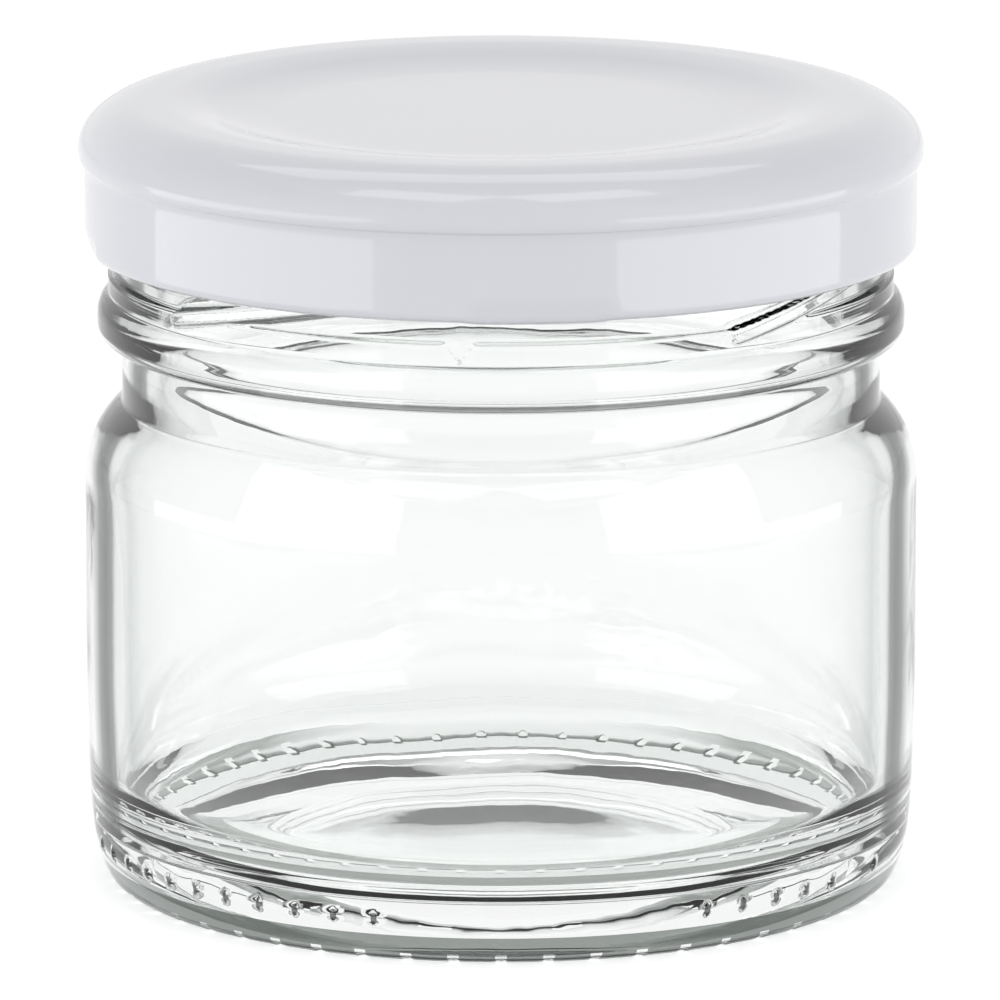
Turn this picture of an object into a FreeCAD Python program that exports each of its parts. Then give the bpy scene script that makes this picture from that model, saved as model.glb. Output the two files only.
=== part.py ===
"""Twist-off mini jar with a 48 mm four-lug closure.

One blown-glass jar, its enamelled steel lug lid, and the ring of sealing compound that the lid carries
under its rim.  Millimetres, +Z up, origin at the centre of the base on the surface that the jar stands on.
Angles are measured around +Z from the front (-Y) towards +X.  Radii named ..._R run from the jar's axis.
"""
import FreeCAD
import Part
import math
import os

# ---- jar: body, from the shoulder down to the heel --------------------------------------------------
JAR_HEIGHT = 46.1          # to the sealing land
BODY_R = 25.05             # widest part of the body
BODY_WALL = 1.95
BODY_DRAW_IN = 0.25        # how much the wall has closed in where it reaches the heel
BODY_STRAIGHT = 11.5       # upright stretch of wall under the shoulder
SHOULDER_ROUND = 5.8       # the shoulder is one arc, cut off by the groove at the crease

# ---- jar: heel and base -----------------------------------------------------------------------------
HEEL_HEIGHT = 4.0
HEEL_ROUND = 7.6           # barrel curve of the heel, upright at its top
HEEL_LEDGE = 0.08          # mould joint between body and heel
TOE_ROUND = 0.5            # between the heel and the bearing ring
BEARING_WIDTH = 1.7        # flat ring that the jar stands on
PUSH_UP_ROUND = 1.8
PUSH_UP_EDGE = 0.4         # heights of the hollow under the base
PUSH_UP_MID = 0.55
PUSH_UP_TOP = 0.9
PUSH_UP_FLAT_R = 4.0
BASE_RING_R = 13.7         # raised step in the hollow
BASE_RING_STEP = 0.3
KNURL_PITCH = 2.73         # pads of the bearing ring, parted by grooves
KNURL_R = 0.3
KNURL_RISE = 0.35          # the grooves climb this much towards the heel
KNURL_OVERRUN = 1.2
DOT_PITCH_DEG = 5.9        # mould-mark pips around the heel
DOT_SLOTS = list(range(-13, -2)) + [5, 6, 7, 8, 9, 11]
DOT_SPHERE_R = 0.4
DOT_PROUD = 0.2
DOT_HEIGHT = 2.8

# ---- jar: neck and finish ---------------------------------------------------------------------------
FINISH_R = 22.95           # wall behind the threads
FINISH_WALL = 2.25
RIM_INSET = 0.25           # the rim stands back from the thread wall
RIM_HEIGHT = 1.4
RIM_ROUND = 0.5
COLLAR_PROUD = 0.65        # collar between threads and bead
COLLAR_HEIGHT = 1.3
COLLAR_ROUND = 0.35
BEAD_PROUD = 1.3
BEAD_HEIGHT = 2.85
BEAD_LAND = 0.6            # upright stretch on the bead's outer face
BEAD_UNDER = 1.1           # height of the rounded underside
GROOVE_INSET = 0.15        # groove between bead and shoulder
GROOVE_HEIGHT = 3.7
SEAM_DEG = -6.0            # neck-ring mould seam: a nick in the collar, and one opposite
SEAM_WIDTH = 1.7
SEAM_DEPTH = 1.1

# ---- jar: inside ------------------------------------------------------------------------------------
BORE_DRAFT = 0.15          # the mouth narrows by this much down to the foot of the neck
BORE_OVER_CREASE = 2.4     # the bore ends this far above the outer crease
INNER_SHOULDER_UPPER = 3.6
INNER_SHOULDER_LOWER = 3.8
INNER_HEEL_HEIGHT = 5.4     # the floor is a shallow bowl that turns up into the wall
INNER_HEEL_WIDTH = 14.0
FLOOR_EDGE = 2.1           # heights of the floor above the standing plane
FLOOR_TOP = 1.9
FLOOR_FLAT_R = 2.0

# ---- threads ----------------------------------------------------------------------------------------
STARTS = 4
THREAD_PROUD = 0.8
THREAD_HEIGHT = 1.1
THREAD_ROUND = 0.3
THREAD_LEAD = 28.0         # rise per full turn
THREAD_SPAN_DEG = 80.0
THREAD_START_DEG = -54.0   # lower end of the first thread
THREAD_UNDER_COLLAR = 0.4  # a thread's lower end runs into the collar by this much

# ---- lid --------------------------------------------------------------------------------------------
PLATE = 0.25               # coated steel
LID_HEIGHT = 8.8
LID_OVER_COLLAR = 1.5      # free height between collar and lid
LID_SHOULDER_WIDTH = 3.9   # the shoulder curve, in from the swell and down from the top
LID_SHOULDER_DROP = 2.8
LID_SWELL = 0.36           # the shoulder swells out over the skirt by this much
LID_SWELL_HEIGHT = 1.3     # height in which the swell falls back to the skirt
LID_SWELL_ROUND = 0.8
PANEL_DEPTH = 0.9
PANEL_SLOPE = 3.2          # radial width of the slope between ring and sunk panel
PANEL_ROUND = 2.4
RING_LAP = 1.2             # the flat of the raised ring reaches inside the sealing ring
RING_ROUND = 1.2
CURL_R = 0.55
CURL_TURN_DEG = 250.0
THREAD_CLEARANCE = 0.15    # between threads and curl
LUG_DEG = 19.0
LUG_HEIGHT = 1.3
LUG_ROUND = 0.3
LUG_CLEARANCE = 0.35       # between lugs and thread wall
LUG_SEAT = 0.1             # between a lug and the thread it has run under
LUG_DENT = 0.35            # depth of the flat outside each lug

# ---- sealing ring -----------------------------------------------------------------------------------
SEAL_THICK = 1.05
SEAL_LAP = 0.6             # the ring reaches inside the mouth by this much
SEAL_OUTSIDE = 0.8         # and outside the rim by this much

# ---- sizes that follow ------------------------------------------------------------------------------
LID_TOP = JAR_HEIGHT + SEAL_THICK + PLATE
LID_FOOT = LID_TOP - LID_HEIGHT
COLLAR_TO = LID_FOOT - LID_OVER_COLLAR
BEAD_TO = COLLAR_TO - COLLAR_HEIGHT
BEAD_FROM = BEAD_TO - BEAD_HEIGHT
SHOULDER_TO = BEAD_FROM - GROOVE_HEIGHT
COLLAR_R = FINISH_R + COLLAR_PROUD
BEAD_R = FINISH_R + BEAD_PROUD
GROOVE_R = FINISH_R - GROOVE_INSET
SHOULDER_ANGLE = math.acos(1 - (BODY_R - GROOVE_R) / SHOULDER_ROUND)
SHOULDER_FROM = SHOULDER_TO - SHOULDER_ROUND * math.sin(SHOULDER_ANGLE)
THREAD_R = FINISH_R + THREAD_PROUD
THREAD_LOW = COLLAR_TO - THREAD_UNDER_COLLAR
MOUTH_R = FINISH_R - FINISH_WALL
LID_R = THREAD_R + THREAD_CLEARANCE + 2 * CURL_R
SWELL_R = LID_R + LID_SWELL
CREST_R = SWELL_R - LID_SHOULDER_WIDTH
BODY_FOOT_R = BODY_R - BODY_DRAW_IN
HEEL_R = BODY_FOOT_R - HEEL_LEDGE
HEEL_ANGLE = math.asin((HEEL_HEIGHT - TOE_ROUND) / HEEL_ROUND)
HEEL_FOOT_R = HEEL_R - HEEL_ROUND * (1 - math.cos(HEEL_ANGLE))
TOE_LEAN = TOE_ROUND * math.tan(HEEL_ANGLE)
BEARING_OUT_R = HEEL_FOOT_R - TOE_LEAN - TOE_ROUND / math.cos(HEEL_ANGLE)
BEARING_IN_R = BEARING_OUT_R - BEARING_WIDTH


def at(r, z):
    """Point of a half section, in the XZ plane."""
    return FreeCAD.Vector(r, 0, z)


def line(p, q):
    return Part.LineSegment(at(*p), at(*q)).toShape()


def tangent_arc(p, corner, q):
    """Arc from p to q, which lie equally far from corner, along the two lines that meet there."""
    u, w = (p - corner).normalize(), (q - corner).normalize()
    half = u.getAngle(w) / 2
    reach = (p - corner).Length
    middle = corner + (u + w).normalize() * (reach / math.cos(half) - reach * math.tan(half))
    return Part.Arc(p, middle, q).toShape()


def blend(p, corner, q):
    """One or two arcs from p to q, tangent to each other and to the two lines that meet at corner."""
    a, c, b = at(*p), at(*corner), at(*q)
    leg_a, leg_b, chord = (c - a).Length, (b - c).Length, (b - a).Length
    if math.isclose(leg_a, leg_b, rel_tol=1e-6):
        return [tangent_arc(a, c, b)]
    share = chord / (chord + leg_a + leg_b)
    a2, b2 = a + (c - a) * share, b + (c - b) * share
    meet = a2 + (b2 - a2) * (leg_a / (leg_a + leg_b))
    return [tangent_arc(a, a2, meet), tangent_arc(meet, b2, b)]


def arc(centre, radius, start_deg, end_deg):
    """Arc of a half section; angles run from +X towards +Z."""
    def on(deg):
        a = math.radians(deg)
        return at(centre[0] + radius * math.cos(a), centre[1] + radius * math.sin(a))
    return Part.Arc(on(start_deg), on((start_deg + end_deg) / 2), on(end_deg)).toShape()


def revolve(edges, deg=360.0):
    """Solid of revolution of a closed half section."""
    face = Part.Face(Part.Wire(Part.__sortEdges__(edges)))
    return face.revolve(FreeCAD.Vector(0, 0, 0), FreeCAD.Vector(0, 0, 1), deg)


def turned(shape, deg):
    """A copy of shape, built at +X, set at an angle from the front."""
    copy = shape.copy()
    copy.rotate(FreeCAD.Vector(0, 0, 0), FreeCAD.Vector(0, 0, 1), deg - 90.0)
    return copy


def one_solid(shape):
    solids = shape.removeSplitter().Solids
    if len(solids) != 1:
        raise RuntimeError("expected one solid, got %d" % len(solids))
    return solids[0]


# ---- jar --------------------------------------------------------------------------------------------
def base_edges():
    """Underside, from the axis out to the top of the heel."""
    ring_top = PUSH_UP_MID + BASE_RING_STEP
    ring_foot_r = BASE_RING_R + BASE_RING_STEP
    hollow_r = BEARING_IN_R - PUSH_UP_ROUND
    return [
        line((0, PUSH_UP_TOP), (PUSH_UP_FLAT_R, PUSH_UP_TOP)),
        *blend((PUSH_UP_FLAT_R, PUSH_UP_TOP), ((PUSH_UP_FLAT_R + BASE_RING_R) / 2, PUSH_UP_TOP),
              (BASE_RING_R, ring_top)),
        line((BASE_RING_R, ring_top), (ring_foot_r, PUSH_UP_MID)),
        line((ring_foot_r, PUSH_UP_MID), (hollow_r, PUSH_UP_EDGE)),
        *blend((hollow_r, PUSH_UP_EDGE), (BEARING_IN_R - BASE_RING_STEP, PUSH_UP_EDGE), (BEARING_IN_R, 0)),
        line((BEARING_IN_R, 0), (BEARING_OUT_R, 0)),
        *blend((BEARING_OUT_R, 0), (HEEL_FOOT_R - TOE_LEAN, 0), (HEEL_FOOT_R, TOE_ROUND)),
        arc((HEEL_R - HEEL_ROUND, HEEL_HEIGHT), HEEL_ROUND, -math.degrees(HEEL_ANGLE), 0),
    ]


def body_edges():
    """Outside wall, from the heel up to the crease under the neck."""
    straight_from = SHOULDER_FROM - BODY_STRAIGHT
    return [
        line((HEEL_R, HEEL_HEIGHT), (BODY_FOOT_R, HEEL_HEIGHT)),
        *blend((BODY_FOOT_R, HEEL_HEIGHT), (BODY_R, (HEEL_HEIGHT + straight_from) / 2), (BODY_R, straight_from)),
        line((BODY_R, straight_from), (BODY_R, SHOULDER_FROM)),
        arc((BODY_R - SHOULDER_ROUND, SHOULDER_FROM), SHOULDER_ROUND, 0, math.degrees(SHOULDER_ANGLE)),
    ]


def finish_edges():
    """Outside of the neck: groove, bead, collar, thread wall and rim."""
    bead_low = BEAD_FROM + BEAD_UNDER
    bead_high = bead_low + BEAD_LAND
    rim_r = FINISH_R - RIM_INSET
    rim_from = JAR_HEIGHT - RIM_HEIGHT
    land = JAR_HEIGHT - RIM_ROUND
    return [
        line((GROOVE_R, SHOULDER_TO), (GROOVE_R, BEAD_FROM)),
        *blend((GROOVE_R, BEAD_FROM), (BEAD_R, BEAD_FROM), (BEAD_R, bead_low)),
        line((BEAD_R, bead_low), (BEAD_R, bead_high)),
        *blend((BEAD_R, bead_high), (BEAD_R, BEAD_TO - COLLAR_ROUND), (COLLAR_R, BEAD_TO)),
        line((COLLAR_R, BEAD_TO), (COLLAR_R, COLLAR_TO - COLLAR_ROUND)),
        *blend((COLLAR_R, COLLAR_TO - COLLAR_ROUND), (COLLAR_R, COLLAR_TO), (FINISH_R, COLLAR_TO)),
        line((FINISH_R, COLLAR_TO), (FINISH_R, rim_from)),
        line((FINISH_R, rim_from), (rim_r, rim_from + RIM_INSET)),
        line((rim_r, rim_from + RIM_INSET), (rim_r, land)),
        *blend((rim_r, land), (rim_r, JAR_HEIGHT), (rim_r - RIM_ROUND, JAR_HEIGHT)),
        line((rim_r - RIM_ROUND, JAR_HEIGHT), (MOUTH_R + RIM_ROUND, JAR_HEIGHT)),
        *blend((MOUTH_R + RIM_ROUND, JAR_HEIGHT), (MOUTH_R, JAR_HEIGHT), (MOUTH_R, land)),
    ]


def inside_edges():
    """Inside, from the rim down to the middle of the floor, and the axis back to the underside."""
    wall_r = BODY_R - BODY_WALL
    foot_r = BODY_FOOT_R - BODY_WALL
    bore_r = MOUTH_R - BORE_DRAFT
    mid_r = (bore_r + wall_r) / 2
    bore_to = SHOULDER_TO + BORE_OVER_CREASE
    mid = bore_to - INNER_SHOULDER_UPPER
    wall_from = mid - INNER_SHOULDER_LOWER
    heel_top = FLOOR_EDGE + INNER_HEEL_HEIGHT
    floor_r = foot_r - INNER_HEEL_WIDTH
    return [
        line((MOUTH_R, JAR_HEIGHT - RIM_ROUND), (bore_r, bore_to)),
        *blend((bore_r, bore_to), (bore_r, (bore_to + mid) / 2), (mid_r, mid)),
        *blend((mid_r, mid), (wall_r, (mid + wall_from) / 2), (wall_r, wall_from)),
        line((wall_r, wall_from), (foot_r, heel_top)),
        *blend((foot_r, heel_top), (foot_r, FLOOR_EDGE), (floor_r, FLOOR_EDGE)),
        *blend((floor_r, FLOOR_EDGE), ((floor_r + FLOOR_FLAT_R) / 2, FLOOR_TOP), (FLOOR_FLAT_R, FLOOR_TOP)),
        line((FLOOR_FLAT_R, FLOOR_TOP), (0, FLOOR_TOP)),
        line((0, FLOOR_TOP), (0, PUSH_UP_TOP)),
    ]


def thread():
    """One thread ridge with a rounded lower end, its foot at +X."""
    inner = FINISH_R - THREAD_ROUND
    soft = THREAD_R - THREAD_ROUND
    half = THREAD_HEIGHT / 2
    flat = half - THREAD_ROUND
    upper = [
        line((inner, 0), (inner, half)),
        line((inner, half), (soft, half)),
        *blend((soft, half), (THREAD_R, half), (THREAD_R, flat)),
    ]
    lower = [
        line((THREAD_R, flat), (THREAD_R, -flat)),
        *blend((THREAD_R, -flat), (THREAD_R, -half), (soft, -half)),
        line((soft, -half), (inner, -half)),
        line((inner, -half), (inner, 0)),
    ]
    section = Part.Wire(Part.__sortEdges__(upper + lower))
    helix = Part.makeHelix(THREAD_LEAD, THREAD_LEAD * THREAD_SPAN_DEG / 360.0, THREAD_R)
    ridge = Part.Wire(helix.Edges).makePipeShell([section], True, True)
    closing = [line((THREAD_R, flat), (THREAD_R, 0)), line((THREAD_R, 0), (inner, 0))]
    quarter = Part.Face(Part.Wire(Part.__sortEdges__(upper + closing)))
    end = quarter.revolve(FreeCAD.Vector(0, 0, 0), FreeCAD.Vector(1, 0, 0), 180.0)
    ridge = ridge.fuse(end)
    ridge.translate(FreeCAD.Vector(0, 0, THREAD_LOW))
    return ridge


def knurls():
    """Radial grooves across the bearing ring."""
    count = round(2 * math.pi * BEARING_OUT_R / KNURL_PITCH)
    start = at(BEARING_IN_R - KNURL_OVERRUN, 0)
    along = at(HEEL_R, KNURL_RISE) - start
    groove = Part.makeCylinder(KNURL_R, along.Length, start, along)
    return [turned(groove, i * 360.0 / count) for i in range(count)]


def dots():
    """Pips around the heel, each a small cap of a sphere."""
    lean = math.asin((HEEL_HEIGHT - DOT_HEIGHT) / HEEL_ROUND)
    surface_r = HEEL_R - HEEL_ROUND * (1 - math.cos(lean))
    ball = Part.makeSphere(DOT_SPHERE_R)
    ball.rotate(FreeCAD.Vector(0, 0, 0), FreeCAD.Vector(0, 0, 1), 180.0)
    ball.translate(at(surface_r + DOT_PROUD - DOT_SPHERE_R, DOT_HEIGHT))
    return [turned(ball, i * DOT_PITCH_DEG) for i in DOT_SLOTS]


def seam_nicks():
    """V nicks in the collar where the two halves of the neck-ring mould meet."""
    nick = Part.Face(Part.makePolygon([
        FreeCAD.Vector(FINISH_R, -SEAM_WIDTH / 2, COLLAR_TO),
        FreeCAD.Vector(FINISH_R, SEAM_WIDTH / 2, COLLAR_TO),
        FreeCAD.Vector(FINISH_R, 0, COLLAR_TO - SEAM_DEPTH),
        FreeCAD.Vector(FINISH_R, -SEAM_WIDTH / 2, COLLAR_TO)]))
    wedge = nick.extrude(FreeCAD.Vector(BEAD_PROUD, 0, 0))
    return [turned(wedge, SEAM_DEG), turned(wedge, SEAM_DEG + 180.0)]


def jar_glass():
    blank = revolve(base_edges() + body_edges() + finish_edges() + inside_edges())
    step = 360.0 / STARTS
    threads = [turned(thread(), THREAD_START_DEG + i * step) for i in range(STARTS)]
    return one_solid(blank.cut(seam_nicks()).fuse(threads).fuse(dots()).cut(knurls()))


# ---- lid --------------------------------------------------------------------------------------------
def fillet_path(corners):
    """Lines and tangent arcs through (r, z, radius) corners, as edges of a half section."""
    edges = []
    last = at(*corners[0][:2])
    for before, here, after in zip(corners, corners[1:], corners[2:]):
        p, c, n = at(*before[:2]), at(*here[:2]), at(*after[:2])
        u, w = (p - c).normalize(), (n - c).normalize()
        half = u.getAngle(w) / 2
        reach = here[2] / math.tan(half)
        middle = c + (u + w).normalize() * (here[2] / math.sin(half) - here[2])
        start, end = c + u * reach, c + w * reach
        edges += [Part.LineSegment(last, start).toShape(), Part.Arc(start, middle, end).toShape()]
        last = end
    edges.append(Part.LineSegment(last, at(*corners[-1][:2])).toShape())
    return edges


def lid_skin(inset):
    """Upper face of the lid plate as a half section, or with inset = PLATE its underside."""
    top = LID_TOP - inset
    ring_r = MOUTH_R - SEAL_LAP - RING_LAP
    swell_r = SWELL_R - inset
    swell_from = LID_TOP - LID_SHOULDER_DROP
    skirt_r = LID_R - inset
    curl_at = (LID_R - CURL_R, LID_FOOT + CURL_R)
    third = LID_SWELL_HEIGHT / 3
    panel = fillet_path([
        (0, top - PANEL_DEPTH, 0),
        (ring_r - PANEL_SLOPE, top - PANEL_DEPTH, PANEL_ROUND + inset),
        (ring_r, top, RING_ROUND - inset),
        (CREST_R, top, 0),
    ])
    shoulder = blend((CREST_R, top), (swell_r, top), (swell_r, swell_from))
    skirt = fillet_path([
        (swell_r, swell_from, 0),
        (swell_r, swell_from - third, LID_SWELL_ROUND),
        (skirt_r, swell_from - 2 * third, LID_SWELL_ROUND),
        (skirt_r, curl_at[1], 0),
    ])
    return panel + shoulder + skirt + [arc(curl_at, CURL_R - inset, 0, -CURL_TURN_DEG)]


def lid_shell():
    """Pressed plate: sunk panel, raised ring, rounded shoulder, skirt and inward curl at its foot."""
    upper, under = lid_skin(0.0), lid_skin(PLATE)
    tip = Part.LineSegment(upper[-1].valueAt(upper[-1].LastParameter),
                           under[-1].valueAt(under[-1].LastParameter)).toShape()
    axis = line((0, LID_TOP - PANEL_DEPTH - PLATE), (0, LID_TOP - PANEL_DEPTH))
    return revolve(upper + under + [tip, axis])


def lug():
    """One inward lug of the curl, centred on +X."""
    in_r = FINISH_R + LUG_CLEARANCE
    out_r = LID_R - PLATE / 2
    z0, z1 = LID_FOOT, LID_FOOT + LUG_HEIGHT
    block = revolve([
        line((in_r + LUG_ROUND, z0), (out_r - CURL_R, z0)),
        *blend((out_r - CURL_R, z0), (out_r, z0), (out_r, z0 + CURL_R)),
        line((out_r, z0 + CURL_R), (out_r, z1)),
        line((out_r, z1), (in_r + LUG_ROUND, z1)),
        *blend((in_r + LUG_ROUND, z1), (in_r, z1), (in_r, z1 - LUG_ROUND)),
        line((in_r, z1 - LUG_ROUND), (in_r, z0 + LUG_ROUND)),
        *blend((in_r, z0 + LUG_ROUND), (in_r, z0), (in_r + LUG_ROUND, z0)),
    ], LUG_DEG)
    block.rotate(FreeCAD.Vector(0, 0, 0), FreeCAD.Vector(0, 0, 1), -LUG_DEG / 2)
    return block


def dent():
    """Flat that the lug tool leaves on the outside of the skirt: deepest at its foot."""
    size = 2 * LID_R
    tilt = math.degrees(math.atan2(LUG_DENT, LUG_HEIGHT))
    box = Part.makeBox(size, size, size, FreeCAD.Vector(0, -size / 2, -size))
    box.rotate(FreeCAD.Vector(0, 0, 0), FreeCAD.Vector(0, 1, 0), tilt)
    box.translate(at(LID_R, LID_FOOT + LUG_HEIGHT))
    return box


def lug_angles():
    """Where the lugs have run home: each leading end is one seat clearance under its thread."""
    rise = LID_FOOT + LUG_HEIGHT + LUG_SEAT - (THREAD_LOW - THREAD_HEIGHT / 2)
    first = THREAD_START_DEG + rise * 360.0 / THREAD_LEAD + LUG_DEG / 2
    return [first + i * 360.0 / STARTS for i in range(STARTS)]


def lid():
    shell = lid_shell().fuse([turned(lug(), a) for a in lug_angles()])
    return one_solid(shell.cut([turned(dent(), a) for a in lug_angles()]))


def lid_seal():
    """Ring of sealing compound in the channel under the lid's raised ring; it sits on the glass rim."""
    under = LID_TOP - PLATE
    in_r = MOUTH_R - SEAL_LAP
    out_r = FINISH_R - RIM_INSET + SEAL_OUTSIDE
    return one_solid(revolve([
        line((in_r, JAR_HEIGHT), (in_r, under)),
        line((in_r, under), (CREST_R, under)),
        line((CREST_R, under), (out_r, JAR_HEIGHT)),
        line((out_r, JAR_HEIGHT), (in_r, JAR_HEIGHT)),
    ]))


os.makedirs("parts", exist_ok=True)
for name, shape in (("jar_glass", jar_glass()), ("lid", lid()), ("lid_seal", lid_seal())):
    shape.exportStep("parts/%s.step" % name)
    print("%-10s %8.2f cm3  valid %s  faces %d" % (name, shape.Volume / 1000, shape.isValid(), len(shape.Faces)))
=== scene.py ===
"""Looks of the twist-off jar: clear moulded glass, an enamelled lug lid and its sealing ring.

Lengths in the shape code are millimetres and become metres in lathe().  Angles are degrees around +Z from
the front (-Y) towards +X.  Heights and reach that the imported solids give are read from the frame.
"""

import math

import bpy
import numpy as np
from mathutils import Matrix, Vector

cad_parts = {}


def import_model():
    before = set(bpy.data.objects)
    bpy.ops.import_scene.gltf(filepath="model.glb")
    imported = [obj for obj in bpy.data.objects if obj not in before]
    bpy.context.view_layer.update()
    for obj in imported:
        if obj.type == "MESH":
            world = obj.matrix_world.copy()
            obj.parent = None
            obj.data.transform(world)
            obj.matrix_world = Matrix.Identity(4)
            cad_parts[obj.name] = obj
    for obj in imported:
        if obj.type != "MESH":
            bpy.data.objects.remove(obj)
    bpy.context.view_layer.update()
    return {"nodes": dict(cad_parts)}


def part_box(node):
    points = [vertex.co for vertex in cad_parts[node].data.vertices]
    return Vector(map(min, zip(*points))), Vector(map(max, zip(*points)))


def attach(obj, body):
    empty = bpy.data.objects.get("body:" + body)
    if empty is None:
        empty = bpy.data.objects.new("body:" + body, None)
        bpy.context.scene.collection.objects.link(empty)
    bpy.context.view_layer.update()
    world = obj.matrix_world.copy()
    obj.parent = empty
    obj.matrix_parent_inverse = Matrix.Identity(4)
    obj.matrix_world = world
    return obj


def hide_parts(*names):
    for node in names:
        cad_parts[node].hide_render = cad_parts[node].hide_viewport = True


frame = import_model()
MM = 0.001


def cad_top(node):
    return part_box(node)[1].z / MM


def cad_reach(node):
    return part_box(node)[1].x / MM


# ---- sizes of the jar, from the rim down ------------------------------------------------------------
RIM_Z = cad_top("jar_glass")
LID_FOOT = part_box("lid")[0].z / MM
COLLAR_TO = LID_FOOT - 1.5
BEAD_TO = COLLAR_TO - 1.3
COLLAR_FROM = BEAD_TO + 0.2
BEAD_FROM = BEAD_TO - 2.85
CREASE_Z = BEAD_FROM - 3.7   # where the shoulder meets the groove under the bead
MOUTH_R = 20.7
RIM_R = 22.7
RIM_ROUND = 0.5
FINISH_R = 22.95
COLLAR_R = 23.6
BEAD_R = 24.25
GROOVE_R = 22.8
SHOULDER_ROUND = 5.8
BODY_R = 25.05
BODY_STRAIGHT = 11.5         # height of the body's upright part
BODY_FOOT_R = 24.8
HEEL_R = 24.72
HEEL_Z = 4.0
HEEL_ROUND = 7.6             # barrel curve of the heel, upright at its top
TOE_ROUND = 0.5
BEARING_WIDTH = 1.7
HOLLOW_LIP = 1.8             # width of the hollow's edge beside the bearing ring
PUSH_UP_EDGE = 0.4           # height of the hollow under the base: at its edge,
PUSH_UP_MID = 0.55           # outside the small ring step,
PUSH_UP_TOP = 0.9            # and in the middle
PUSH_UP_FLAT_R = 4.0
BASE_RING_R = 13.7
BASE_RING_STEP = 0.3

# ---- inside of the jar ------------------------------------------------------------------------------
WALL = 1.95
BORE_R = 20.55
BORE_OVER_CREASE = 2.4       # the straight mouth ends this far above the crease
SHOULDER_UPPER_BEND = 3.6    # two bends lead from the mouth out to the wall
SHOULDER_LOWER_BEND = 3.8
INNER_HEEL_TOP = 7.5
FLOOR_R = 8.85
FLOOR_EDGE = 2.1
FLOOR_TOP = 1.9
FLOOR_FLAT_R = 2.0

# ---- what repeats around the jar --------------------------------------------------------------------
KNURLS = 53                  # pads of the bearing ring, with a groove between each two
KNURL_HALF = 0.3
KNURL_HEIGHT = 0.8           # of a full half round
KNURL_FROM_R = 21.3
KNURL_RISE = 0.12            # the grooves climb this much from there to the heel
KNURL_FADE_R = 22.9          # and grow to their full depth from here,
KNURL_FADE = 0.7             # over this width
KNURL_TOP = 1.2              # no groove above this height
DOT_PITCH_DEG = 5.9          # mould marks on the heel
DOT_SLOTS = list(range(-13, -2)) + [5, 6, 7, 8, 9, 11]
DOT_Z = 2.8
DOT_HALF_WIDTH = 0.26
DOT_HALF_HEIGHT = 0.45
DOT_PROUD = 0.12
DOT_PAINTED_SHADE = 0.75              # share of a dot, from its middle, painted with dark shade
DOT_FROM_R = 23.0            # the base has no dots inside this radius
STARTS = 4                   # threads, and lugs of the lid
THREAD_START_DEG = -54.0
THREAD_SPAN_DEG = 80.0
THREAD_LEAD = 28.0
THREAD_LOW = COLLAR_TO - 0.4
THREAD_PROUD = 0.8
THREAD_HALF = 0.75
THREAD_FLANK = 1.7           # steepness of the flanks
SEAM_DEG = -6.0
SEAM_HALF_DEG = 2.2
SEAM_DEPTH = 1.1
COLLAR_EDGE = 0.18           # height over which the collar falls back to the thread wall
NECK_FROM = BEAD_TO + 0.1    # collar and threads lie between these heights
NECK_TO = RIM_Z - 1.3
# Columns of the mesh, from the middle of each groove and dot.
GROOVE_COLUMNS = [-0.34, -0.25, -0.13, 0, 0.13, 0.25, 0.34, 0.62, 0.95, 1.28, 1.61, 1.94, 2.2]
DOT_COLUMNS = [-0.2, -0.07, 0.07, 0.2]
COLUMNS_R = 23.5             # radius at which these lengths are laid off
COLUMNS_APART = 0.06         # a column that is closer than this to the next is left out

WAVE_OUTSIDE = 0.006         # slow unevenness of the glass
WAVE_INSIDE = 0.015
WAVE_TURNS = (2, 3, 5, 7, 11, 16)
WAVE_FROM_R = 3.0            # none near the axis

# ---- zones of the glass, each with its own material -------------------------------------------------
OUTSIDE, INSIDE, HEEL, FOOT, TOE, DOT = range(6)
FOOT_SHADOW_R = 17.0           # painted contact shadow, over the bearing ring and what lies beside it
FOOT_SHADOW_Z = 1.2
TOE_SHADE_R = 22.9            # where the bearing ring turns up into the heel, painted with a dark band of shade
TOE_SHADE_Z = 1.75
GAP_TOP = 0.6                # up to here, the glass between two pads stays clear of the toe's painted shade

# ---- sizes of the lid -------------------------------------------------------------------------------
LID_TOP = cad_top("lid")
SWELL_R = cad_reach("lid")
LID_PLATE = 0.25
PANEL_DEPTH = 0.9            # of the sunk middle
PANEL_FLAT_R = 13.4
PANEL_BEND_R = 15.7          # the slope up to the raised ring is two bends,
PANEL_MID_R = 17.4           # which meet here, half way up
PANEL_CREST_R = 18.9
RING_R = 20.2
LID_ROUND = 3.9              # width of the round from the raised ring to the swell
SWELL_BELOW_TOP = 2.8
SWELL_FALL = 0.65            # the swell draws in to the skirt in two bends of this height
SKIRT_IN = 0.36
CURL_R = 0.55
CURL_DEG = 250
LUG_DEG = 19.0
LUG_FADE_DEG = 3.0
LUG_R = 23.3
LUG_HEIGHT = 1.3
FIRST_LUG_DEG = 5.0
LUG_BEHIND_SKIRT = 0.45      # what lies further inside the skirt is drawn in to a lug:
LUG_FROM_R = 23.8            # from this radius to LUG_R,
LUG_FLATTEN = 0.3            # and what is beside it keeps this share of its depth
LUG_DENT = 0.3               # depth of the flat outside each lug
LUG_DENT_ABOVE = 0.3         # it ends this far above the lug,
LUG_DENT_FADE = 1.6          # and is at its full depth this far below its end
LUG_DROP = 0.16              # the foot of the lid is this much lower at a lug
LUG_DROP_FADE = 0.7
LID_ANGLES = np.arange(0, 360, 0.75)

AXIS_R = 0.05                # sections start and end here, and lathe() closes them with caps


# ---- curves of the half sections, and small functions -----------------------------------------------
def run(p, q, step):
    """Points from p up to, but not including, q."""
    count = max(1, round(math.dist(p, q) / step))
    t = np.arange(count)[:, None] / count
    return np.array(p) * (1 - t) + np.array(q) * t


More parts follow.
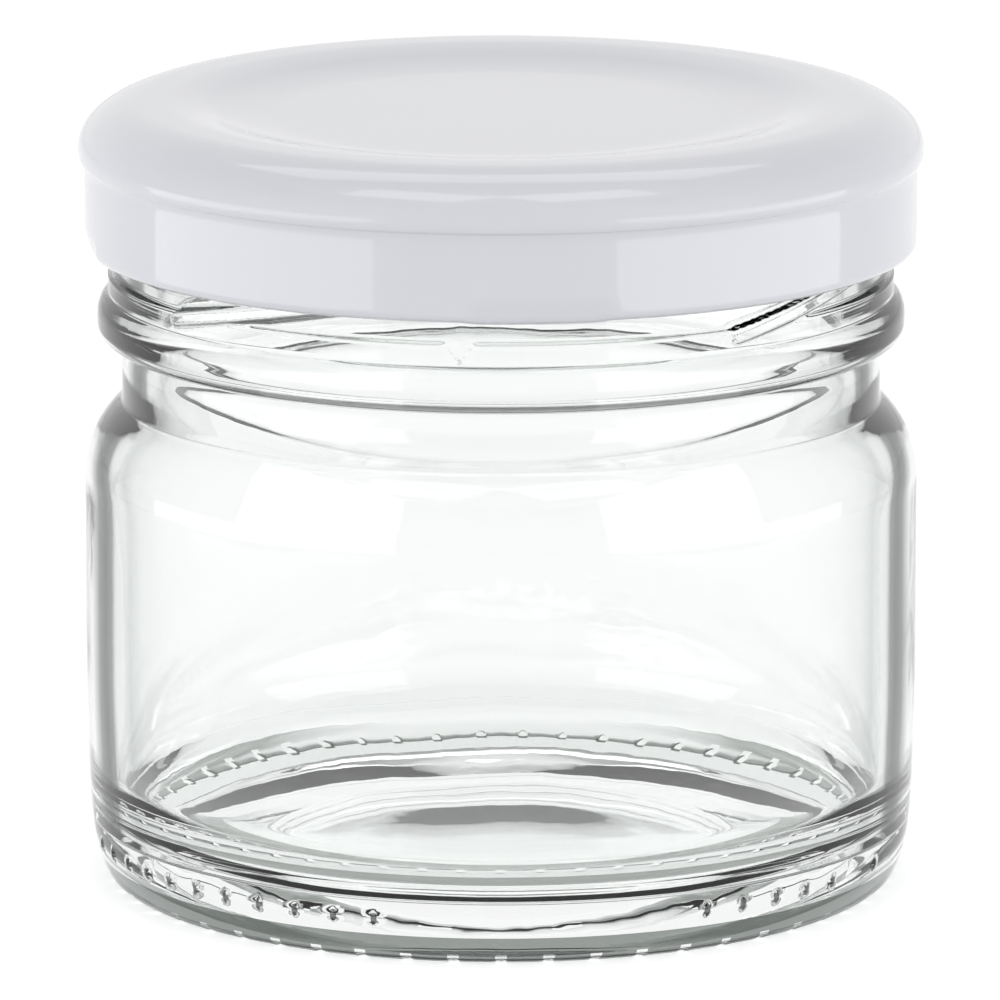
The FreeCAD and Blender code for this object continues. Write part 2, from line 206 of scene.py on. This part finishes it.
def bend(p, corner, q, step):
    """Quarter of an ellipse from p to q, tangent to the lines that meet at corner, without q."""
    p, corner, q = np.array(p), np.array(corner), np.array(q)
    length = math.hypot(*(p - corner)) + math.hypot(*(q - corner))
    count = max(3, round(0.8 * length / step))
    t = (np.arange(count) / count * math.pi / 2)[:, None]
    return corner + (p - corner) * (1 - np.sin(t)) + (q - corner) * (1 - np.cos(t))


def sweep(centre, radius, start_deg, end_deg, step):
    """Arc of a circle, without its end point; angles run from +r towards +z."""
    a0, a1 = math.radians(start_deg), math.radians(end_deg)
    count = max(3, round(abs(a1 - a0) * radius / step))
    t = a0 + (a1 - a0) * np.arange(count) / count
    return np.c_[centre[0] + radius * np.cos(t), centre[1] + radius * np.sin(t)]


def tangent_arc(p, corner, q, step):
    """Arc from p to q, which lie equally far from corner, without q."""
    u, w = (p - corner) / math.dist(p, corner), (q - corner) / math.dist(q, corner)
    half = math.acos(np.clip(u @ w, -1, 1)) / 2
    reach = math.dist(p, corner)
    radius = reach * math.tan(half)
    centre = corner + (u + w) / np.linalg.norm(u + w) * reach / math.cos(half)
    from_deg, to_deg = (math.degrees(math.atan2(*(point - centre)[::-1])) for point in (p, q))
    return sweep(centre, radius, from_deg, from_deg + turn(to_deg - from_deg), step)


def blend(p, corner, q, step):
    """Two tangent arcs from p to q, along the lines that meet at corner, as the solid has them."""
    p, corner, q = (np.array(point, float) for point in (p, corner, q))
    leg_p, leg_q, chord = math.dist(p, corner), math.dist(q, corner), math.dist(p, q)
    share = chord / (chord + leg_p + leg_q)
    p2, q2 = p + (corner - p) * share, q + (corner - q) * share
    meet = p2 + (q2 - p2) * leg_p / (leg_p + leg_q)
    return np.vstack([tangent_arc(p, p2, meet, step), tangent_arc(meet, q2, q, step)])


def turn(deg):
    """deg wrapped into -180 to 180."""
    return (deg + 180) % 360 - 180


def soft_step(x):
    """0 to 1 with level ends."""
    x = np.clip(x, 0, 1)
    return x * x * (3 - 2 * x)


# ---- half sections ----------------------------------------------------------------------------------
# The last number of each curve is the spacing of its points.
def base_curves():
    """From the axis under the base to the top of the heel."""
    heel_deg = math.degrees(math.asin((HEEL_Z - TOE_ROUND) / HEEL_ROUND))
    toe_r = HEEL_R - HEEL_ROUND * (1 - math.cos(math.radians(heel_deg)))
    toe_lean = TOE_ROUND * math.tan(math.radians(heel_deg))
    bearing_out = toe_r - toe_lean - TOE_ROUND / math.cos(math.radians(heel_deg))
    bearing_in = bearing_out - BEARING_WIDTH
    lip_in, lip_out = bearing_in - HOLLOW_LIP, bearing_in - 0.3
    ring_top, ring_foot_r = PUSH_UP_MID + BASE_RING_STEP, BASE_RING_R + BASE_RING_STEP
    push_up_bend_r = (PUSH_UP_FLAT_R + BASE_RING_R) / 2
    return [
        run((AXIS_R, PUSH_UP_TOP), (PUSH_UP_FLAT_R, PUSH_UP_TOP), 1.3),
        bend((PUSH_UP_FLAT_R, PUSH_UP_TOP), (push_up_bend_r, PUSH_UP_TOP), (BASE_RING_R, ring_top), 1.2),
        run((BASE_RING_R, ring_top), (ring_foot_r, PUSH_UP_MID), 0.15),
        run((ring_foot_r, PUSH_UP_MID), (lip_in, PUSH_UP_EDGE), 1.0),
        bend((lip_in, PUSH_UP_EDGE), (lip_out, PUSH_UP_EDGE), (bearing_in, 0), 0.25),
        run((bearing_in, 0), (bearing_out, 0), 0.28),
        bend((bearing_out, 0), (toe_r - toe_lean, 0), (toe_r, TOE_ROUND), 0.12),
        sweep((HEEL_R - HEEL_ROUND, HEEL_Z), HEEL_ROUND, -heel_deg, 0, 0.15),
    ]


def wall_curves():
    """From the top of the heel up the body, over the shoulder, the groove and the bead."""
    shoulder_deg = math.degrees(math.acos(1 - (BODY_R - GROOVE_R) / SHOULDER_ROUND))
    shoulder_from = CREASE_Z - SHOULDER_ROUND * math.sin(math.radians(shoulder_deg))
    shoulder_to_deg = shoulder_deg - 2   # cut short, where the crease is rounded
    straight_from = shoulder_from - BODY_STRAIGHT
    ledge_z, foot_bend_z = HEEL_Z + 0.1, (HEEL_Z + straight_from) / 2
    crease_from = (GROOVE_R + 0.12, CREASE_Z - 0.1)
    groove_from, groove_to, under_bead_r = CREASE_Z + 0.25, BEAD_FROM - 0.15, GROOVE_R + 0.15
    side_from, side_to, side_bend = BEAD_FROM + 1.1, BEAD_FROM + 1.7, BEAD_TO - 0.35
    over_bead_r = COLLAR_R + 0.1
    return [
        bend((HEEL_R, HEEL_Z), (BODY_FOOT_R, HEEL_Z), (BODY_FOOT_R, ledge_z), 0.03),
        bend((BODY_FOOT_R, ledge_z), (BODY_R, foot_bend_z), (BODY_R, straight_from), 1.0),
        run((BODY_R, straight_from), (BODY_R, shoulder_from), 1.2),
        sweep((BODY_R - SHOULDER_ROUND, shoulder_from), SHOULDER_ROUND, 0, shoulder_to_deg, 0.3),
        bend(crease_from, (GROOVE_R, CREASE_Z), (GROOVE_R, groove_from), 0.08),
        run((GROOVE_R, groove_from), (GROOVE_R, groove_to), 0.5),
        bend((GROOVE_R, groove_to), (GROOVE_R, BEAD_FROM), (under_bead_r, BEAD_FROM), 0.06),
        bend((under_bead_r, BEAD_FROM), (BEAD_R, BEAD_FROM), (BEAD_R, side_from), 0.16),
        run((BEAD_R, side_from), (BEAD_R, side_to), 0.2),
        bend((BEAD_R, side_to), (BEAD_R, side_bend), (over_bead_r, BEAD_TO), 0.14),
        bend((over_bead_r, BEAD_TO), (COLLAR_R, BEAD_TO + 0.05), (COLLAR_R, COLLAR_FROM), 0.06),
    ]


def neck_curves():
    """From the collar's foot up the wall behind the threads and over the rim."""
    fine_to = LID_FOOT + 2.5             # close rows where the threads show under the lid
    step_from, step_to = RIM_Z - 1.4, RIM_Z - 1.15
    land = RIM_Z - RIM_ROUND
    return [
        run((FINISH_R, COLLAR_FROM), (FINISH_R, fine_to), 0.11),
        run((FINISH_R, fine_to), (FINISH_R, step_from), 0.22),
        run((FINISH_R, step_from), (RIM_R, step_to), 0.12),
        run((RIM_R, step_to), (RIM_R, land), 0.3),
        bend((RIM_R, land), (RIM_R, RIM_Z), (RIM_R - RIM_ROUND, RIM_Z), 0.15),
        run((RIM_R - RIM_ROUND, RIM_Z), (MOUTH_R + RIM_ROUND, RIM_Z), 0.35),
        bend((MOUTH_R + RIM_ROUND, RIM_Z), (MOUTH_R, RIM_Z), (MOUTH_R, land), 0.15),
    ]


def inside_curves():
    """From the mouth down the inside of the wall to the middle of the floor."""
    wall_r, foot_r = BODY_R - WALL, BODY_FOOT_R - WALL
    bore_to = CREASE_Z + BORE_OVER_CREASE
    mid_r, mid_z = (BORE_R + wall_r) / 2, bore_to - SHOULDER_UPPER_BEND
    wall_bend, wall_from = mid_z - SHOULDER_LOWER_BEND / 2, mid_z - SHOULDER_LOWER_BEND
    floor_bend_r = (FLOOR_R + FLOOR_FLAT_R) / 2
    return [
        run((MOUTH_R, RIM_Z - RIM_ROUND), (BORE_R, bore_to), 1.0),
        bend((BORE_R, bore_to), (BORE_R, (bore_to + mid_z) / 2), (mid_r, mid_z), 0.25),
        bend((mid_r, mid_z), (wall_r, wall_bend), (wall_r, wall_from), 0.3),
        run((wall_r, wall_from), (foot_r, INNER_HEEL_TOP), 1.0),
        blend((foot_r, INNER_HEEL_TOP), (foot_r, FLOOR_EDGE), (FLOOR_R, FLOOR_EDGE), 0.3),
        blend((FLOOR_R, FLOOR_EDGE), (floor_bend_r, FLOOR_TOP), (FLOOR_FLAT_R, FLOOR_TOP), 1.0),
        run((FLOOR_FLAT_R, FLOOR_TOP), (AXIS_R, FLOOR_TOP), 1.3),
        np.array([(AXIS_R, FLOOR_TOP)]),
    ]


def glass_section():
    """Closed half section of the jar, and the zone of each of its points."""
    base = np.vstack(base_curves())
    outside = np.vstack(wall_curves() + neck_curves())
    inside = np.vstack(inside_curves())
    r, z = base.T
    under = np.full(len(base), HEEL)
    under[(r > FOOT_SHADOW_R) & (z < FOOT_SHADOW_Z)] = FOOT
    under[(r > TOE_SHADE_R) & (z < TOE_SHADE_Z)] = TOE
    zone = np.concatenate([under, np.full(len(outside), OUTSIDE), np.full(len(inside), INSIDE)])
    return np.vstack([base, outside, inside]), zone


def lid_skin(inset):
    """Half section of one side of the lid plate, from the axis to the end of the curl."""
    top = LID_TOP - inset
    low = top - PANEL_DEPTH
    mid = low + PANEL_DEPTH / 2
    crest_r = SWELL_R - LID_ROUND
    swell_r, swell_z = SWELL_R - inset, LID_TOP - SWELL_BELOW_TOP
    skirt_r, skirt_z = SWELL_R - SKIRT_IN, swell_z - 2 * SWELL_FALL
    neck_r, neck_z = skirt_r + SKIRT_IN / 2 - inset, swell_z - SWELL_FALL
    curl_z = LID_FOOT + CURL_R
    return np.vstack([
        run((AXIS_R, low), (PANEL_FLAT_R, low), 1.2),
        bend((PANEL_FLAT_R, low), (PANEL_BEND_R, low), (PANEL_MID_R, mid), 0.3),
        bend((PANEL_MID_R, mid), (PANEL_CREST_R, top), (RING_R, top), 0.25),
        run((RING_R, top), (crest_r, top), 0.3),
        bend((crest_r, top), (swell_r, top), (swell_r, swell_z), 0.2),
        bend((swell_r, swell_z), (swell_r, neck_z), (neck_r, neck_z), 0.12),
        bend((neck_r, neck_z), (skirt_r - inset, neck_z), (skirt_r - inset, skirt_z), 0.12),
        run((skirt_r - inset, skirt_z), (skirt_r - inset, curl_z), 0.3),
        sweep((skirt_r - CURL_R, curl_z), CURL_R - inset, 0, -CURL_DEG, 0.09),
    ])


def lid_section():
    """Closed half section of the lid plate, and the number of points on its outer skin."""
    outer, inner = lid_skin(0.0), lid_skin(LID_PLATE)
    return np.vstack([outer, inner[::-1]]), len(outer)


# ---- meshes -----------------------------------------------------------------------------------------
def lathe(name, section, angles_deg, shape):
    """Closed mesh of a half section turned around the axis; shape(r, z, deg) moves the points first."""
    deg = np.broadcast_to(angles_deg, (len(section), len(angles_deg)))
    r = np.broadcast_to(section[:, :1], deg.shape).copy()
    z = np.broadcast_to(section[:, 1:], deg.shape).copy()
    r, z = shape(r, z, deg)
    a = np.radians(deg)
    points = np.stack([r * np.sin(a), -r * np.cos(a), z], -1).reshape(-1, 3) * MM
    index = np.arange(deg.size).reshape(deg.shape)
    here, beside = index[:-1], np.roll(index, -1, 1)[:-1]
    above, across = index[1:], np.roll(index, -1, 1)[1:]
    quads = np.stack([here, beside, across, above], -1).reshape(-1, 4)
    caps = [list(index[0][::-1]), list(index[-1])]
    mesh = bpy.data.meshes.new(name)
    mesh.from_pydata(points.tolist(), [], quads.tolist() + caps)
    mesh.shade_smooth()
    mesh.validate()
    piece = bpy.data.objects.new(name, mesh)
    bpy.context.scene.collection.objects.link(piece)
    return piece


def glass_angles():
    """Columns of the glass: close together across each groove and dot, wider between."""
    mm = 360 / (2 * math.pi * COLUMNS_R)
    columns = [i * 360 / KNURLS + np.array(GROOVE_COLUMNS) * mm for i in range(KNURLS)]
    columns += [np.array(DOT_COLUMNS) * mm + slot * DOT_PITCH_DEG for slot in DOT_SLOTS]
    angles = np.sort(np.concatenate(columns) % 360)
    keep = np.diff(angles, append=angles[0] + 360) > COLUMNS_APART * mm
    return angles[keep]


def dot_reach(deg, z, slot):
    """Distance from a dot's middle, as a share of its half width and half height."""
    across = turn(deg - slot * DOT_PITCH_DEG) * math.radians(1) * HEEL_R / DOT_HALF_WIDTH
    return np.hypot(across, (z - DOT_Z) / DOT_HALF_HEIGHT)


def groove_distance(deg, r):
    """Length of arc from the nearest groove between two pads."""
    return turn(deg * KNURLS) / KNURLS * math.radians(1) * r


def glass_zones(section, zone, angles):
    """Zone of each face of the glass, row by row, with the dots of the heel painted dark with shade and the
    gaps between the pads kept clear of the toe's painted shade.
    """
    middle_deg = angles + turn(np.roll(angles, -1) - angles) / 2
    middle_z = (section[:-1, 1] + section[1:, 1]) / 2
    zones = np.repeat(zone[:-1, None], len(angles), 1)
    near = (section[:-1, 0] > DOT_FROM_R)[:, None] & (zones == HEEL)
    for slot in DOT_SLOTS:
        zones[near & (dot_reach(middle_deg[None], middle_z[:, None], slot) < DOT_PAINTED_SHADE)] = DOT
    across = groove_distance(middle_deg[None], section[:-1, :1])
    gap = (abs(across) < KNURL_HALF) & (middle_z < GAP_TOP)[:, None]
    zones[gap & (zones == TOE)] = OUTSIDE
    return zones.ravel()


def neck_relief(z, deg):
    """How far the collar, with its seam nicks, and the threads stand out from the wall behind them."""
    seam = np.minimum(abs(turn(deg - SEAM_DEG)), abs(turn(deg - SEAM_DEG - 180)))
    nick = SEAM_DEPTH * np.clip(1 - seam / SEAM_HALF_DEG, 0, 1)
    collar = soft_step((COLLAR_TO - nick - z) / COLLAR_EDGE + 0.5) * (COLLAR_R - FINISH_R)
    ridge = np.zeros_like(z)
    for k in range(STARTS):
        along = turn(deg - THREAD_START_DEG - k * 360 / STARTS - THREAD_SPAN_DEG / 2) + THREAD_SPAN_DEG / 2
        inside = np.clip(along, 0, THREAD_SPAN_DEG)
        beyond = (along - inside) * math.radians(1) * FINISH_R
        rise = z - THREAD_LOW - THREAD_LEAD * inside / 360
        away = np.hypot(rise, beyond) / THREAD_HALF
        ridge = np.maximum(ridge, THREAD_PROUD * soft_step(THREAD_FLANK * (1 - away)))
    return np.maximum(collar, ridge)


def dot_relief(z, deg, slot):
    away = dot_reach(deg, z, slot)
    return DOT_PROUD * np.sqrt(np.clip(1 - away * away, 0, 1))


def groove_bottom(r, across):
    """Height of a groove between two pads, at this distance across from its middle."""
    rise = KNURL_RISE * (r - KNURL_FROM_R) / (HEEL_R - KNURL_FROM_R)
    arch = KNURL_HEIGHT * np.sqrt(np.clip(KNURL_HALF ** 2 - across ** 2, 0, 1))
    return (rise + arch) * soft_step((r - KNURL_FADE_R) / KNURL_FADE)


def wave(deg, z, seed, size):
    """Slow unevenness of moulded glass, from a few sines of whole turns."""
    random = np.random.default_rng(seed)
    total = np.zeros_like(z)
    for turns in WAVE_TURNS:
        phase, lean, rise = random.uniform(0, 6.28), random.uniform(-1, 1), random.uniform(0.1, 0.45)
        total = total + np.sin(np.radians(deg) * turns + phase + rise * z + lean) / turns ** 0.5
    return size * total


def glass_shape(zone):
    """What makes the jar more than a turned shape; every test looks at the plain section."""
    def shape(plain_r, plain_z, deg):
        outside = np.broadcast_to((zone != INSIDE)[:, None], deg.shape)
        neck = outside & (plain_r <= FINISH_R + 0.01) & (plain_z > NECK_FROM) & (plain_z < NECK_TO)
        r = np.where(neck, plain_r + neck_relief(plain_z, deg), plain_r)
        for slot in DOT_SLOTS:
            r = np.where(outside & (plain_r > DOT_FROM_R), r + dot_relief(plain_z, deg, slot), r)
        across = groove_distance(deg, plain_r)
        grooved = outside & (abs(across) < KNURL_HALF) & (plain_r > KNURL_FROM_R) & (plain_z < KNURL_TOP)
        z = np.where(grooved, np.maximum(plain_z, groove_bottom(plain_r, across)), plain_z)
        free = plain_r > WAVE_FROM_R
        body = free & outside & (plain_z > HEEL_Z) & (plain_z < CREASE_Z)
        r = r + np.where(body, wave(deg, plain_z, 3, WAVE_OUTSIDE), 0)
        r = r + np.where(free & ~outside, wave(deg, plain_z, 8, WAVE_INSIDE), 0)
        return r, z

    return shape


def lid_shape(r, z, deg):
    """The four lugs: the curl drawn in under the threads, a flat outside each, and a lower foot."""
    lug = np.zeros_like(r)
    for k in range(STARTS):
        away = abs(turn(deg - FIRST_LUG_DEG - k * 360 / STARTS))
        lug = np.maximum(lug, soft_step((LUG_DEG / 2 + LUG_FADE_DEG / 2 - away) / LUG_FADE_DEG))
    foot = z.min()
    low = z < foot + LUG_HEIGHT
    inner = low & (r < SWELL_R - SKIRT_IN - LUG_BEHIND_SKIRT)
    flat_r = np.minimum(r, LUG_R + (r - LUG_FROM_R) * LUG_FLATTEN)
    r = np.where(inner, r * (1 - lug) + flat_r * lug, r)
    dent = LUG_DENT * lug * soft_step((foot + LUG_HEIGHT + LUG_DENT_ABOVE - z) / LUG_DENT_FADE)
    r = np.where(low & ~inner, r - dent, r)
    z = z - LUG_DROP * lug * soft_step((foot + LUG_DROP_FADE - z) / LUG_DROP_FADE)
    return r, z


# ---- materials --------------------------------------------------------------------------------------
CLEAR = (0.94, 0.95, 0.944)
# In the order of the zones: colours over Layer Weight's Facing, 0 face-on and 1 edge-on. Dark stops are
# painted shade: streaks at the edges, a contact shadow under the foot, a dark toe and dark dots.
GLASS_PAINTED_SHADE_RAMPS = {
    # painted shade: dark streaks towards the outline, with a lighter band beyond them
    "glass_outside": [
        (0.0, CLEAR), (0.3, CLEAR), (0.43, (0.86, 0.87, 0.865)), (0.51, (0.71, 0.73, 0.72)),
        (0.562, (0.47, 0.5, 0.485)), (0.6, (0.66, 0.68, 0.67)), (0.635, (0.6, 0.62, 0.61)),
        (0.66, (0.07, 0.075, 0.072)), (0.7, (0.015, 0.018, 0.016)), (0.75, (0.03, 0.035, 0.032)),
        (0.79, (0.25, 0.27, 0.26)), (0.83, (0.85, 0.86, 0.855)), (1.0, CLEAR)],
    "glass_inside": [(0.0, CLEAR), (0.7, CLEAR), (0.85, (0.9, 0.91, 0.905)), (1.0, CLEAR)],
    "glass_heel": [(0.0, CLEAR), (0.5, (0.93, 0.94, 0.935)), (1.0, (0.86, 0.88, 0.87))],
    # painted contact shadow of the ground under the bearing ring, seen through the glass
    "glass_foot_painted_shadow": [(0.0, (0.19, 0.205, 0.195)), (1.0, (0.15, 0.165, 0.155))],
    # painted shade: a dark band where the bearing ring turns up into the heel
    "glass_toe_painted_shade": [(0.0, CLEAR), (0.05, CLEAR), (0.13, (0.09, 0.105, 0.095)), (1.0, (0.045, 0.055, 0.05))],
    # painted shade: the dots nearly black, in place of the dark they show by bending light
    "glass_dots_painted_shade": [(0.0, (0.05, 0.055, 0.052)), (1.0, (0.02, 0.022, 0.021))],
}
SHADOW_TINT = (0.93, 0.95, 0.94, 1)
ENAMEL = [(0.3, (0.645, 0.652, 0.7)), (0.7, (0.66, 0.667, 0.715))]
LACQUER = [(0.3, (0.85, 0.85, 0.86)), (0.7, (0.87, 0.87, 0.88))]
COMPOUND = [(0.3, (0.68, 0.67, 0.64)), (0.7, (0.74, 0.73, 0.7))]


def material(name):
    made = bpy.data.materials.new(name)
    made.use_nodes = True
    return made, made.node_tree.nodes, made.node_tree.links, made.node_tree.nodes["Principled BSDF"]


def ramp(nodes, links, value, stops, shader):
    """Colour of the shader, from a ramp over a value."""
    made = nodes.new("ShaderNodeValToRGB")
    elements = made.color_ramp.elements
    while len(elements) < len(stops):
        elements.new(0.5)
    for element, (place, colour) in zip(elements, stops):
        element.position = place
        element.color = (*colour, 1)
    links.new(value, made.inputs["Fac"])
    links.new(made.outputs["Color"], shader.inputs["Base Color"])


def object_noise(nodes, links, scale, detail):
    place = nodes.new("ShaderNodeTexCoord")
    noise = nodes.new("ShaderNodeTexNoise")
    noise.inputs["Scale"].default_value = scale
    noise.inputs["Detail"].default_value = detail
    links.new(place.outputs["Object"], noise.inputs["Vector"])
    return noise.outputs["Fac"]


def bump(nodes, links, height, strength, distance, shader):
    made = nodes.new("ShaderNodeBump")
    made.inputs["Strength"].default_value = strength
    made.inputs["Distance"].default_value = distance
    links.new(height, made.inputs["Height"])
    links.new(made.outputs["Normal"], shader.inputs["Normal"])


def glass(name, stops):
    """Clear glass; the ramp paints shade where the surface turns away, dark edges that stand in for the dark
    which thick glass bends into view there.
    """
    made, nodes, links, shader = material(name)
    shader.inputs["Transmission Weight"].default_value = 1.0
    shader.inputs["Roughness"].default_value = 0.0
    shader.inputs["IOR"].default_value = 1.5
    turned_away = nodes.new("ShaderNodeLayerWeight")
    turned_away.inputs["Blend"].default_value = 0.5
    ramp(nodes, links, turned_away.outputs["Facing"], stops, shader)
    grain = object_noise(nodes, links, scale=260, detail=2)
    bump(nodes, links, grain, strength=0.05, distance=0.0002, shader=shader)
    path = nodes.new("ShaderNodeLightPath")
    clear = nodes.new("ShaderNodeBsdfTransparent")
    clear.inputs["Color"].default_value = SHADOW_TINT
    mix = nodes.new("ShaderNodeMixShader")
    links.new(path.outputs["Is Shadow Ray"], mix.inputs["Fac"])
    links.new(shader.outputs["BSDF"], mix.inputs[1])
    links.new(clear.outputs["BSDF"], mix.inputs[2])
    links.new(mix.outputs["Shader"], nodes["Material Output"].inputs["Surface"])
    return made


def enamel(name, stops):
    """Gloss enamel with the slow ripple of a baked coat, and hardly any change of tone."""
    made, nodes, links, shader = material(name)
    ramp(nodes, links, object_noise(nodes, links, scale=60, detail=3), stops, shader)
    shader.inputs["Roughness"].default_value = 0.35
    shader.inputs["Coat Weight"].default_value = 1.0
    shader.inputs["Coat Roughness"].default_value = 0.06
    shader.inputs["Coat IOR"].default_value = 1.55
    peel = object_noise(nodes, links, scale=420, detail=2)
    bump(nodes, links, peel, strength=0.05, distance=0.0001, shader=shader)
    return made


def compound(name, stops):
    """Soft sealing compound."""
    made, nodes, links, shader = material(name)
    tone = object_noise(nodes, links, scale=300, detail=3)
    ramp(nodes, links, tone, stops, shader)
    shader.inputs["Roughness"].default_value = 0.55
    bump(nodes, links, tone, strength=0.15, distance=0.0003, shader=shader)
    return made


# ---- the object -------------------------------------------------------------------------------------
def paint(piece, materials, face_slots):
    for made in materials:
        piece.data.materials.append(made)
    piece.data.polygons.foreach_set("material_index", face_slots.astype(np.int32))


def glass_jar():
    section, zone = glass_section()
    angles = glass_angles()
    piece = lathe("jar_glass_clear", section, angles, glass_shape(zone))
    caps = [HEEL, INSIDE]
    materials = [glass(name, stops) for name, stops in GLASS_PAINTED_SHADE_RAMPS.items()]
    paint(piece, materials, np.append(glass_zones(section, zone, angles), caps))
    return piece


def enamelled_lid():
    """Enamel outside and lacquer inside, which is the second material."""
    section, outer_rows = lid_section()
    piece = lathe("lid_enamelled", section, LID_ANGLES, lid_shape)
    inner_skin = np.zeros(len(piece.data.polygons), int)
    inner_skin[(outer_rows - 1) * len(LID_ANGLES):] = 1
    inner_skin[-2] = 0                   # cap in the middle of the outer skin
    paint(piece, [enamel("white_enamel", ENAMEL), enamel("inner_lacquer", LACQUER)], inner_skin)
    return piece


jar = glass_jar()
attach(jar, "root")
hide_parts("jar_glass")

lid = enamelled_lid()
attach(lid, "root")
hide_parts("lid")

seal = frame["nodes"]["lid_seal"]
seal.data.materials.clear()
seal.data.materials.append(compound("sealing_compound", COMPOUND))


# ---- studio -----------------------------------------------------------------------------------------
def seen_directly(nodes, links):
    """1 for rays that show the background: from the camera, and through glass or off gloss."""
    path = nodes.new("ShaderNodeLightPath")
    total = path.outputs["Is Camera Ray"]
    for ray in ("Is Glossy Ray", "Is Transmission Ray"):
        add = nodes.new("ShaderNodeMath")
        add.operation = "MAXIMUM"
        links.new(total, add.inputs[0])
        links.new(path.outputs[ray], add.inputs[1])
        total = add.outputs["Value"]
    return total


def world(shown, lighting):
    """White world: one strength where it is seen, another where it lights the object."""
    made = bpy.data.worlds.new("studio")
    made.use_nodes = True
    bpy.context.scene.world = made
    nodes, links = made.node_tree.nodes, made.node_tree.links
    mix = nodes.new("ShaderNodeMixShader")
    links.new(seen_directly(nodes, links), mix.inputs["Fac"])
    unseen = nodes.new("ShaderNodeBackground")
    for i, node, strength in ((1, unseen, lighting), (2, nodes["Background"], shown)):
        node.inputs["Color"].default_value = (1, 1, 1, 1)
        node.inputs["Strength"].default_value = strength
        links.new(node.outputs["Background"], mix.inputs[i])
    links.new(mix.outputs["Shader"], nodes["World Output"].inputs["Surface"])


def floor(half, grey, glow):
    """White floor that takes the shadow; glow is what it adds where it is seen."""
    mesh = bpy.data.meshes.new("floor")
    corners_xy = [(-half, -half), (half, -half), (half, half), (-half, half)]
    mesh.from_pydata([(x, y, 0) for x, y in corners_xy], [], [(0, 1, 2, 3)])
    piece = bpy.data.objects.new("floor", mesh)
    bpy.context.scene.collection.objects.link(piece)
    made, nodes, links, shader = material("floor_white")
    shader.inputs["Base Color"].default_value = (grey, grey, grey, 1)
    shader.inputs["Roughness"].default_value = 0.9
    shader.inputs["Specular IOR Level"].default_value = 0.0
    light = nodes.new("ShaderNodeEmission")
    add = nodes.new("ShaderNodeAddShader")
    strength = nodes.new("ShaderNodeMath")
    strength.operation = "MULTIPLY"
    strength.inputs[1].default_value = glow
    links.new(seen_directly(nodes, links), strength.inputs[0])
    links.new(strength.outputs["Value"], light.inputs["Strength"])
    links.new(shader.outputs["BSDF"], add.inputs[0])
    links.new(light.outputs["Emission"], add.inputs[1])
    links.new(add.outputs["Shader"], nodes["Material Output"].inputs["Surface"])
    mesh.materials.append(made)


def softbox(name, azimuth, elevation, distance, middle, width, height, radiance):
    """Area light that faces the jar's axis at a height; radiance is its brightness seen from the front."""
    lamp = bpy.data.lights.new(name, "AREA")
    lamp.shape = "RECTANGLE"
    lamp.size = width
    lamp.size_y = height
    lamp.energy = radiance * math.pi * width * height
    piece = bpy.data.objects.new(name, lamp)
    a, e = math.radians(azimuth), math.radians(elevation)
    out = distance * math.cos(e)
    piece.location = (math.sin(a) * out, -math.cos(a) * out, middle + distance * math.sin(e))
    piece.rotation_euler = (math.pi / 2 - e, 0, a)
    bpy.context.scene.collection.objects.link(piece)
    return piece


def lamps():
    for side, azimuth in (("left", -56), ("right", 56)):
        front = softbox("softbox_" + side, azimuth, elevation=0, distance=1.4, middle=0.36,
                        width=1.3, height=0.9, radiance=2.2)
        front.visible_glossy = False     # lights the skirt, but no white patch on the lid seen from behind
    for side, azimuth in (("left", -68), ("right", 65)):
        strip = softbox("strip_" + side, azimuth, elevation=0, distance=0.14, middle=0.017,
                        width=0.2, height=0.03, radiance=1.2)
        strip.visible_camera = False     # seen only as a reflection, in the skirt and the glass
        strip.visible_transmission = False
    for side, azimuth in (("left", -40), ("right", 40)):
        softbox("overhead_" + side, azimuth, elevation=66, distance=1.2, middle=0.04,
                width=0.55, height=0.4, radiance=1.4)
    softbox("overhead_back", 180, elevation=62, distance=1.2, middle=0.04,
            width=1.0, height=0.45, radiance=0.9)


def camera(elevation_deg, distance, aim_z):
    """Long lens from slightly above, as the product is pictured."""
    elevation = math.radians(elevation_deg)
    made = bpy.data.cameras.new("camera")
    made.lens = 417.8
    made.sensor_width = 36.0
    made.clip_start = 0.01
    made.shift_x = -0.001
    piece = bpy.data.objects.new("camera", made)
    piece.location = (0, -distance * math.cos(elevation), aim_z + distance * math.sin(elevation))
    piece.rotation_euler = (math.pi / 2 - elevation, 0, 0)
    bpy.context.scene.collection.objects.link(piece)
    bpy.context.scene.camera = piece


world(shown=1.0, lighting=0.41)
floor(half=3.0, grey=0.86, glow=0.45)
lamps()
camera(elevation_deg=12.24, distance=0.7, aim_z=0.0228)
bpy.context.scene.view_settings.view_transform = "Standard"
